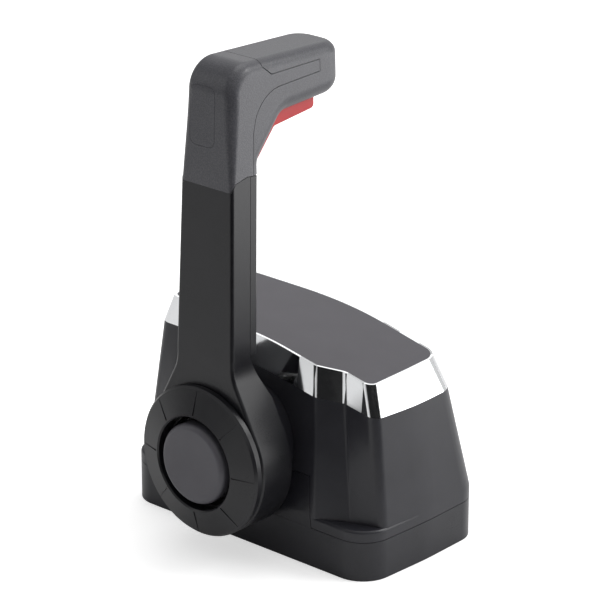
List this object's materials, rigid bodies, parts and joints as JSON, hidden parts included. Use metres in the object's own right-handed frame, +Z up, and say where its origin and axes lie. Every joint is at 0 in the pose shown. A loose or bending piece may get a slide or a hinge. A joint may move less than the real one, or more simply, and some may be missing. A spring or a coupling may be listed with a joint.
{
  "type": "boat throttle control lever",
  "caption": "Top-mount single-lever engine control: a hinged lever with elbow grip, neutral-lock trigger and hub button works shift and throttle arms through gears.",
  "frame": {"origin": "middle of the housing's underside, on the console face", "axes": "+Z up from the console, +X along the housing towards its low end, the astern side, -Y towards the side that carries the lever"},
  "size_m": [0.1636, 0.1252, 0.2518],
  "materials": {
    "satin_black_shell": "satin moulded black",
    "bright_chrome": "bright plated",
    "dark_panel": "fine matte dark grey",
    "zinc_steel": "zinc plated",
    "turned_steel": "turned",
    "gear_steel": "cut teeth, oiled",
    "spring_wire": "drawn wire",
    "white_bush": "low-friction white plastic",
    "switch_plastic": "moulded black",
    "satin_black_lever": "satin black powder coat",
    "satin_black_ring": "satin to gloss black",
    "grip_rubber": "soft-touch fine texture",
    "button_plastic": "satin dark grey",
    "red_trigger": "satin red"
  },
  "bodies": {
    "housing": {"base_housing": "satin_black_shell", "upper_cover": "satin_black_shell", "trim_band": "bright_chrome", "top_panel": "dark_panel", "neutral_lock_plate": "zinc_steel", "lock_plate_screws": "zinc_steel", "outer_bush": "white_bush", "inner_bush": "white_bush", "mechanism_plate": "zinc_steel", "plate_foot_screws": "zinc_steel", "upper_pillar": "turned_steel", "lower_pillar": "turned_steel", "pillar_screws": "zinc_steel", "shift_stud": "turned_steel", "throttle_stud": "turned_steel", "shift_stud_clip": "zinc_steel", "throttle_stud_clip": "zinc_steel", "shift_cable_anchor": "zinc_steel", "throttle_cable_anchor": "zinc_steel", "anchor_screws": "zinc_steel", "neutral_switch": "switch_plastic", "switch_screws": "zinc_steel", "cover_screws": "zinc_steel"},
    "lever": {"lever_shell": "satin_black_lever", "lever_back_cover": "satin_black_lever", "dial_ring": "satin_black_ring", "main_shaft": "turned_steel", "drive_gear": "gear_steel", "neutral_cam": "switch_plastic", "shaft_circlip": "zinc_steel", "hub_screw": "zinc_steel", "button_guide": "white_bush", "button_spring": "spring_wire", "grip_front_shell": "grip_rubber", "grip_body": "grip_rubber", "grip_face_blank": "grip_rubber", "trigger_spring": "spring_wire"},
    "button": {"hub_button": "button_plastic"},
    "trigger": {"neutral_lock_trigger": "red_trigger", "lock_rod": "turned_steel", "lock_pin": "turned_steel"},
    "shift_lever": {"shift_arm": "gear_steel", "shift_cable_pin": "turned_steel"},
    "throttle_lever": {"throttle_arm": "gear_steel", "throttle_cable_pin": "turned_steel"}
  },
  "joints": [
    {"name": "lever_hinge", "type": "hinge", "parent": "housing", "child": "lever", "pos_m": [0, -0.06, 0.0526], "axis": [0, 1, 0], "range_deg": [-85, 65]},
    {"name": "button_push", "type": "slide", "parent": "lever", "child": "button", "axis": [0, 1, 0], "range_m": [0, 0.0035], "stiffness_N_per_m": 800, "springref_m": -0.001, "deforming": ["button_spring"]},
    {"name": "trigger_squeeze", "type": "slide", "parent": "lever", "child": "trigger", "axis": [0, 0, 1], "range_m": [0, 0.004], "stiffness_N_per_m": 800, "springref_m": -0.002, "deforming": ["trigger_spring"]},
    {"name": "shift_pivot", "type": "hinge", "parent": "housing", "child": "shift_lever", "pos_m": [0.028, -0.021, 0.02766], "axis": [0, 1, 0], "range_deg": [-36.6, 47.9]},
    {"name": "throttle_pivot", "type": "hinge", "parent": "housing", "child": "throttle_lever", "pos_m": [-0.028, -0.021, 0.02766], "axis": [0, 1, 0], "range_deg": [-36.6, 47.9]}
  ],
  "couplings": [
    {"joint": "shift_pivot", "follows": "lever_hinge", "ratio": -0.5625},
    {"joint": "throttle_pivot", "follows": "lever_hinge", "ratio": -0.5625}
  ]
}
